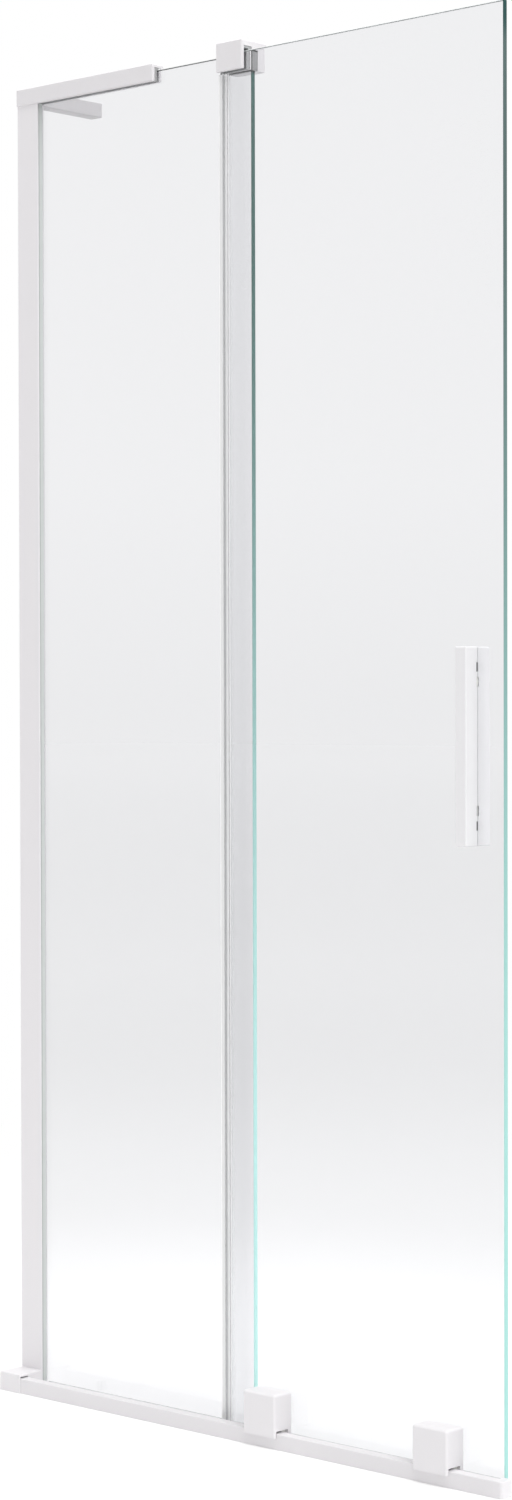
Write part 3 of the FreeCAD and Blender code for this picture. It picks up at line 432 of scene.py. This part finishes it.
# Painted shade: the gasket's front half, in the mouth of the bar's slot, is made darker than its back half
BAR_RUBBER = make_banded_rubber(
    "bar_rubber", "Y", *BAR_SHADED_FRONT_HALF, inside=(0.38, 0.38, 0.385), outside=(0.85, 0.85, 0.855),
)
# Painted light and shade: the lower pad is made lighter and the lower collars darker than the upper ones,
# which are the same parts
HANDLE_RUBBER = make_banded_rubber(
    "handle_rubber", "Z", *HANDLE_LOWER_LIGHT_AND_SHADE, inside=(0.07, 0.07, 0.073), outside=(0.006, 0.006, 0.007),
)
HANDLE_COLLARS = make_banded_rubber(
    "handle_collar_nylon", "Z", *HANDLE_LOWER_LIGHT_AND_SHADE, inside=(0.5, 0.5, 0.5), outside=(0.74, 0.74, 0.71),
)
# Painted shadow: a darker band along the gasket where it meets the channel's lip, as the recess there would
# cast
CHANNEL_RUBBER = make_banded_rubber(
    "channel_rubber", "X", *CHANNEL_LIP_SHADOW_BAND, inside=(0.4, 0.42, 0.415), outside=(0.57, 0.6, 0.59),
)
# Painted shade: the guide's nylon glide is made grey, as the shade inside the guide's slot
NYLON_PAINTED_SHADE = skinned("nylon_painted_shade", (0.45, 0.455, 0.46), 0.2, Roughness=0.5, Grain_Scale=1800.0)[0]
# Painted shade: the bracket leg is the same white coat, made grey as the shade it stands in behind the glass
LEG_COAT_PAINTED_SHADE = make_white_coat("leg_coat_painted_shade", (0.55, 0.537, 0.55))
BAR_COAT = make_white_coat("bar_powder_coat", (0.755, 0.738, 0.755))
END_MOULDING = make_white_plastic("end_moulding", (0.765, 0.748, 0.765))
HANDLE_COAT = make_white_coat("handle_powder_coat", (0.836, 0.829, 0.844))
# Painted light: the handle's rear bar is the same white coat, made lighter against the shade between the two
# bars
REAR_COAT_PAINTED_LIGHT = make_white_coat("rear_coat_painted_light", (0.93, 0.925, 0.935))
# Both panes' edges are the same ground glass; their different foot and head colours are painted light and
# painted shade
FIXED_EDGE = make_ground_edge(
    "fixed_ground_edge",
    lit_foot_colour=(0.57, 0.98, 0.93), shaded_head_colour=(0.025, 0.11, 0.095), painted_shadow_tip_colour=(0.0, 0.01, 0.01),
    painted_shadow_foot=0.0, tip_from=1476.0, tip_to=1480.0,
)
SLIDING_EDGE = make_ground_edge(
    "sliding_ground_edge",
    lit_foot_colour=(0.385, 0.69, 0.65), shaded_head_colour=(0.09, 0.14, 0.136), painted_shadow_tip_colour=(0.018, 0.07, 0.066),
    painted_shadow_foot=10.5, tip_from=1455.0, tip_to=1485.0,
)
PALE_EDGE = make_ground_plain("pale_ground_edge", (0.86, 0.865, 0.865))
# Painted shade: the fixed pane's top, inside the bar's slot, is made dark grey; the sliding pane's top is
# the same ground glass in a lighter grey
FIXED_TOP_PAINTED_SHADE = make_ground_plain("fixed_ground_top_painted_shade", (0.2, 0.21, 0.21))
SLIDING_TOP = make_ground_plain("sliding_ground_top", (0.6, 0.63, 0.63))

for entry in frame["record"]["subparts"]:
    mesh = nodes[entry["node"]].data
    mesh.materials.clear()
    mesh.materials.append(FINISHES[entry["material_slot"]])
for name, finish in (
    ("bracket_bar", BAR_COAT),
    ("bottom_rail", BAR_COAT),
    ("guide_block", END_MOULDING),
    ("rail_end_cap", END_MOULDING),
    ("bracket_leg", LEG_COAT_PAINTED_SHADE),
    ("handle_front_bar", HANDLE_COAT),
    ("handle_rear_bar", REAR_COAT_PAINTED_LIGHT),
    ("bracket_gasket", BAR_RUBBER),
    ("channel_gaskets", CHANNEL_RUBBER),
    ("handle_pads", HANDLE_RUBBER),
    ("handle_collars", HANDLE_COLLARS),
    ("guide_end_pad", GREY_RUBBER),
    ("guide_glide", NYLON_PAINTED_SHADE),
    ("edge_seal", make_edge_strip()),
):
    nodes[name].data.materials[0] = finish

# Modelling helpers


def begin():
    """Leave object mode ready, with nothing selected."""
    if bpy.context.object and bpy.context.object.mode != "OBJECT":
        bpy.ops.object.mode_set(mode="OBJECT")
    bpy.ops.object.select_all(action="DESELECT")


def edit(piece):
    """Open one piece in edit mode."""
    begin()
    bpy.context.view_layer.objects.active = piece
    piece.select_set(True)
    bpy.ops.object.mode_set(mode="EDIT")


def settle(piece):
    """Put the piece's origin at the frame's origin, unturned and unscaled."""
    begin()
    bpy.context.view_layer.objects.active = piece
    piece.select_set(True)
    bpy.ops.object.transform_apply(location=True, rotation=True, scale=True)
    piece.select_set(False)


def start_box(name, low, high):
    """A box between two corners in millimetres, for shaping on."""
    begin()
    low, high = Vector(low) * MM, Vector(high) * MM
    bpy.ops.mesh.primitive_cube_add(size=1.0, location=(low + high) / 2)
    piece = bpy.context.object
    piece.name = piece.data.name = name
    edit(piece)
    bpy.ops.mesh.select_all(action="SELECT")
    bpy.ops.transform.resize(value=high - low)
    settle(piece)
    return piece


def pick_edges(piece, test):
    """Select the edges whose two ends pass the test, given in millimetres."""
    edit(piece)
    bpy.ops.mesh.select_mode(type="EDGE")
    bpy.ops.mesh.select_all(action="DESELECT")
    bpy.ops.object.mode_set(mode="OBJECT")
    points = piece.data.vertices
    for line in piece.data.edges:
        line.select = test(*(points[i].co / MM for i in line.vertices))
    bpy.ops.object.mode_set(mode="EDIT")


HOLE_SIDES = 40


def cut_round_holes(piece, places, radius, low, high):
    """Drill round holes along Y, between two depths in millimetres."""
    begin()
    cutters = []
    for x, z in places:
        bpy.ops.mesh.primitive_cylinder_add(
            vertices=HOLE_SIDES, radius=radius * MM, depth=(high - low) * MM,
            location=(x * MM, (low + high) / 2 * MM, z * MM), rotation=(math.pi / 2, 0.0, 0.0),
        )
        cutters.append(bpy.context.object)
    for cutter in cutters:
        cutter.select_set(True)
    bpy.ops.object.join()
    cutter = bpy.context.object
    settle(cutter)
    bpy.context.view_layer.objects.active = piece
    piece.select_set(True)
    hole = piece.modifiers.new("holes", "BOOLEAN")
    hole.operation = "DIFFERENCE"
    hole.object = cutter
    bpy.ops.object.modifier_apply(modifier="holes")
    bpy.data.meshes.remove(cutter.data)


# The two panes, with ground and arrised edges

# Lengths in millimetres, and FACING as the least share of a normal along an axis
ARRIS = 0.6
SAME_PLACE = 0.01
FACING = 0.6
EDGE_DEPTH = 1.0
HOLE_RADIUS = 3.0
DRILL_PAST = 5.0


def make_pane(name, low, high, body, node, ground, holes=()):
    """A pane between two corners, with finishes for its right, top and left edges, in place of a node."""
    piece = start_box(name, low, high)
    faces = (low[1], high[1])

    def on_one_face(a, b):
        return abs(a.y - b.y) < SAME_PLACE and min(abs(a.y - y) for y in faces) < SAME_PLACE

    pick_edges(piece, on_one_face)
    bpy.ops.mesh.bevel(offset=ARRIS * MM, segments=1, affect="EDGES")
    if holes:
        cut_round_holes(piece, holes, HOLE_RADIUS, low[1] - DRILL_PAST, high[1] + DRILL_PAST)
    begin()
    piece.data.materials.clear()
    for finish in (FINISHES["clear_glass"], *ground):
        piece.data.materials.append(finish)
    for face in piece.data.polygons:
        centre = face.center / MM
        if face.normal.x > FACING and centre.x > high[0] - EDGE_DEPTH:
            face.material_index = 1
        elif face.normal.z > FACING and centre.z > high[2] - EDGE_DEPTH:
            face.material_index = 2
        elif face.normal.x < -FACING and centre.x < low[0] + EDGE_DEPTH:
            face.material_index = 3
    piece.visible_shadow = False
    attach(piece, body)
    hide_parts(node)


# Where the sliding pane is drilled for roller bolts and handle studs
ROLLERS_ALONG = (409.25, 645.05)
BOLTS_UP = (23.1, 45.6)
STUDS_ALONG = 680.3
STUDS_UP = (686.5, 817.5)
DRILLED = [(x, z) for x in ROLLERS_ALONG for z in BOLTS_UP] + [(STUDS_ALONG, z) for z in STUDS_UP]

make_pane(
    "fixed_pane", low=(12.0, -3.0, 6.0), high=(366.6, 3.0, 1501.7),
    body="frame", node="fixed_glass", ground=(FIXED_EDGE, FIXED_TOP_PAINTED_SHADE, PALE_EDGE),
)
make_pane(
    "sliding_pane", low=(331.5, -18.0, 8.0), high=(721.0, -12.0, 1500.0),
    body="sliding_panel", node="sliding_glass", ground=(SLIDING_EDGE, SLIDING_TOP, PALE_EDGE), holes=DRILLED,
)

# The camera, where the photograph was taken from: focal length in pixels, angles in radians

PICTURE_HEIGHT = 1500.0
FOCAL_PIXELS = 3061.55
SENSOR_HEIGHT = 36.0
CAMERA_PLACE = Vector((2618.74, -2449.77, 798.22)) * MM
CAMERA_YAW = 0.743569
CAMERA_PITCH = 0.015901
CAMERA_ROLL = -0.002301


def make_camera():
    data = bpy.data.cameras.new("camera")
    data.sensor_fit = "VERTICAL"
    data.sensor_height = SENSOR_HEIGHT
    data.lens = FOCAL_PIXELS / PICTURE_HEIGHT * SENSOR_HEIGHT
    data.clip_end = 100.0
    camera = bpy.data.objects.new("camera", data)
    bpy.context.scene.collection.objects.link(camera)
    level = math.cos(CAMERA_PITCH)
    forward = Vector((
        -math.sin(CAMERA_YAW) * level, math.cos(CAMERA_YAW) * level, -math.sin(CAMERA_PITCH),
    ))
    right = Vector((math.cos(CAMERA_YAW), math.sin(CAMERA_YAW), 0.0))
    up = right.cross(forward)
    across = right * math.cos(CAMERA_ROLL) + up * math.sin(CAMERA_ROLL)
    upright = up * math.cos(CAMERA_ROLL) - right * math.sin(CAMERA_ROLL)
    axes = Matrix((across, upright, -forward)).transposed().to_4x4()
    camera.matrix_world = Matrix.Translation(CAMERA_PLACE) @ axes
    bpy.context.scene.camera = camera


# Studio: a white room, one soft lamp overhead and one at the free end

# How far from the wall's foot the floor changes its tone, from and to in millimetres; the tones make a
# painted pool of light around the object
FLOOR_PAINTED_POOL = (350.0, 1300.0)
FLOOR_PLAIN = (1000.0, 2200.0)
FLOOR_OUTER = (2500.0, 6000.0)
FLOOR_HORIZON = (7000.0, 38000.0)
HORIZON_SHARE = 0.45
# Its side and how far it lies under the rim, in metres
FLOOR_SIZE = 80.0
FLOOR_DROP = 0.05 * MM


def make_floor():
    """A white floor that keeps the object's shadow and turns to plain white further off, with a painted pool
    of light in its colour: brightest near the object, darker in a ring around it.
    """
    begin()
    bpy.ops.mesh.primitive_plane_add(size=FLOOR_SIZE, location=(0.0, 0.0, -FLOOR_DROP))
    floor = bpy.context.object
    floor.name = "floor"
    material, tree, shader = new_finish("white_floor")
    place = add(tree, "ShaderNodeTexCoord")
    length = add(tree, "ShaderNodeVectorMath", operation="LENGTH")
    join(tree, place.outputs["Object"], length.inputs[0])
    away = length.outputs["Value"]

    # Painted light: the floor's colour is brightest near the object, darker in a ring around it and a little
    # lighter far off, as a lamp's pool of light
    ring, near, around, painted_pool_tone = blend_colours(tree)
    join(tree, climb(tree, away, *FLOOR_PAINTED_POOL), ring.inputs["Factor"])
    near.default_value = (0.95, 0.95, 0.95, 1.0)
    around.default_value = (0.84, 0.84, 0.84, 1.0)
    outer, inside, outside, tone = blend_colours(tree)
    join(tree, climb(tree, away, *FLOOR_OUTER), outer.inputs["Factor"])
    join(tree, painted_pool_tone, inside)
    outside.default_value = (0.9, 0.9, 0.9, 1.0)
    join(tree, tone, shader.inputs["Base Color"])
    shader.inputs["Roughness"].default_value = 1.0
    shader.inputs["Specular IOR Level"].default_value = 0.0

    plain = add(tree, "ShaderNodeEmission")
    plain.inputs["Strength"].default_value = 1.0
    path = add(tree, "ShaderNodeLightPath")
    looked_at = sum_of(tree, climb(tree, away, *FLOOR_PLAIN), path.outputs["Is Camera Ray"], "MULTIPLY")
    horizon = climb(tree, away, *FLOOR_HORIZON, top=HORIZON_SHARE)
    mix = add(tree, "ShaderNodeMixShader")
    join(tree, sum_of(tree, looked_at, horizon, "MAXIMUM"), mix.inputs["Fac"])
    join(tree, shader.outputs["BSDF"], mix.inputs[1])
    join(tree, plain.outputs["Emission"], mix.inputs[2])
    join(tree, mix.outputs["Shader"], tree.nodes["Material Output"].inputs["Surface"])
    floor.data.materials.append(material)


def make_sun(strength, angle, tilt, turn):
    data = bpy.data.lights.new("window_light", "SUN")
    data.energy = strength
    data.angle = math.radians(angle)
    lamp = bpy.data.objects.new("window_light", data)
    lamp.rotation_euler = (math.radians(tilt), 0.0, math.radians(turn))
    bpy.context.scene.collection.objects.link(lamp)


def make_softbox(power, size, place):
    data = bpy.data.lights.new("overhead", "AREA")
    data.shape = "DISK"
    data.size = size
    data.energy = power
    lamp = bpy.data.objects.new("overhead", data)
    lamp.location = place
    lamp.visible_glossy = False
    lamp.visible_transmission = False
    bpy.context.scene.collection.objects.link(lamp)


# Through glass the far wall is a little grey at its foot, up to this rise of the view
WALL_RISE = 0.07
WALL_FOOT_TONE = 0.955


def make_world():
    """White to look at, a little softer as a light."""
    world = bpy.data.worlds.new("white_room")
    bpy.context.scene.world = world
    world.use_nodes = True
    tree = world.node_tree
    light = tree.nodes["Background"]
    light.inputs["Color"].default_value = (1.0, 1.0, 1.0, 1.0)
    light.inputs["Strength"].default_value = 0.7
    seen = add(tree, "ShaderNodeBackground")
    seen.inputs["Strength"].default_value = 1.0
    path = add(tree, "ShaderNodeLightPath")
    place = add(tree, "ShaderNodeTexCoord")
    direction = add(tree, "ShaderNodeSeparateXYZ")
    join(tree, place.outputs["Generated"], direction.inputs["Vector"])
    wall = add(tree, "ShaderNodeMapRange")
    for name, value in (("From Max", WALL_RISE), ("To Min", WALL_FOOT_TONE)):
        wall.inputs[name].default_value = value
    join(tree, direction.outputs["Z"], wall.inputs["Value"])
    grey = add(tree, "ShaderNodeCombineColor")
    for channel in ("Red", "Green", "Blue"):
        join(tree, wall.outputs["Result"], grey.inputs[channel])
    tone, first, second, result = blend_colours(tree)
    join(tree, path.outputs["Is Transmission Ray"], tone.inputs["Factor"])
    first.default_value = (1.0, 1.0, 1.0, 1.0)
    join(tree, grey.outputs["Color"], second)
    join(tree, result, seen.inputs["Color"])
    looked_at = sum_of(tree, path.outputs["Is Camera Ray"], path.outputs["Is Transmission Ray"], "MAXIMUM")
    looked_at = sum_of(tree, looked_at, path.outputs["Is Glossy Ray"], "MAXIMUM")
    mix = add(tree, "ShaderNodeMixShader")
    join(tree, looked_at, mix.inputs["Fac"])
    join(tree, light.outputs["Background"], mix.inputs[1])
    join(tree, seen.outputs["Background"], mix.inputs[2])
    join(tree, mix.outputs["Shader"], tree.nodes["World Output"].inputs["Surface"])


make_camera()
make_floor()
make_sun(strength=1.4, angle=60.0, tilt=42.0, turn=85.0)
make_softbox(power=40.0, size=1.5, place=(0.5, 0.0, 3.6))
make_world()
bpy.context.scene.view_settings.view_transform = "Standard"
